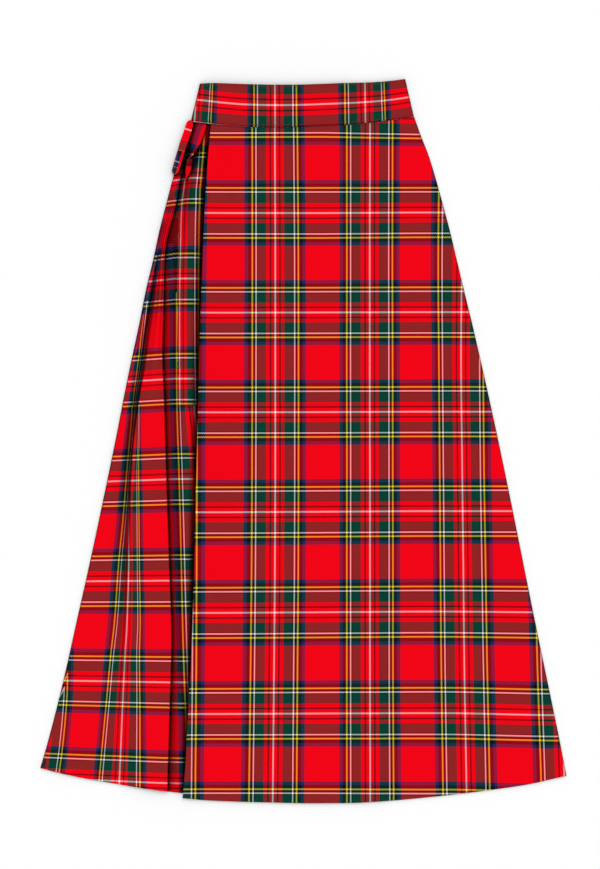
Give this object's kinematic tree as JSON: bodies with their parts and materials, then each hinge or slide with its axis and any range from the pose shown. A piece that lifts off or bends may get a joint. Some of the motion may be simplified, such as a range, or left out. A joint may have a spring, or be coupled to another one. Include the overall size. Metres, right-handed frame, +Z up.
{
  "type": "tartan wrap skirt",
  "caption": "Long wrap skirt in red tartan cloth, laid flat, with crossed front panels, side folds, a waistband and hip ties.",
  "frame": {"origin": "middle of the skirt's outline, on the surface that it lies on", "axes": "+X to the right of the skirt as it is seen from above, +Y from the hem to the waist, +Z up out of the front of the skirt"},
  "size_m": [0.7619, 1.0478, 0.0129],
  "materials": {
    "tartan_cloth": "soft matt twill weave, red ground with green, navy, black, yellow and white lines"
  },
  "bodies": {
    "root": {"back_panel": "tartan_cloth", "under_panel": "tartan_cloth", "over_panel": "tartan_cloth", "waistband_back": "tartan_cloth", "waistband_under": "tartan_cloth", "waistband_front": "tartan_cloth", "tie_loop": "tartan_cloth", "tie_tail": "tartan_cloth"}
  },
  "joints": []
}
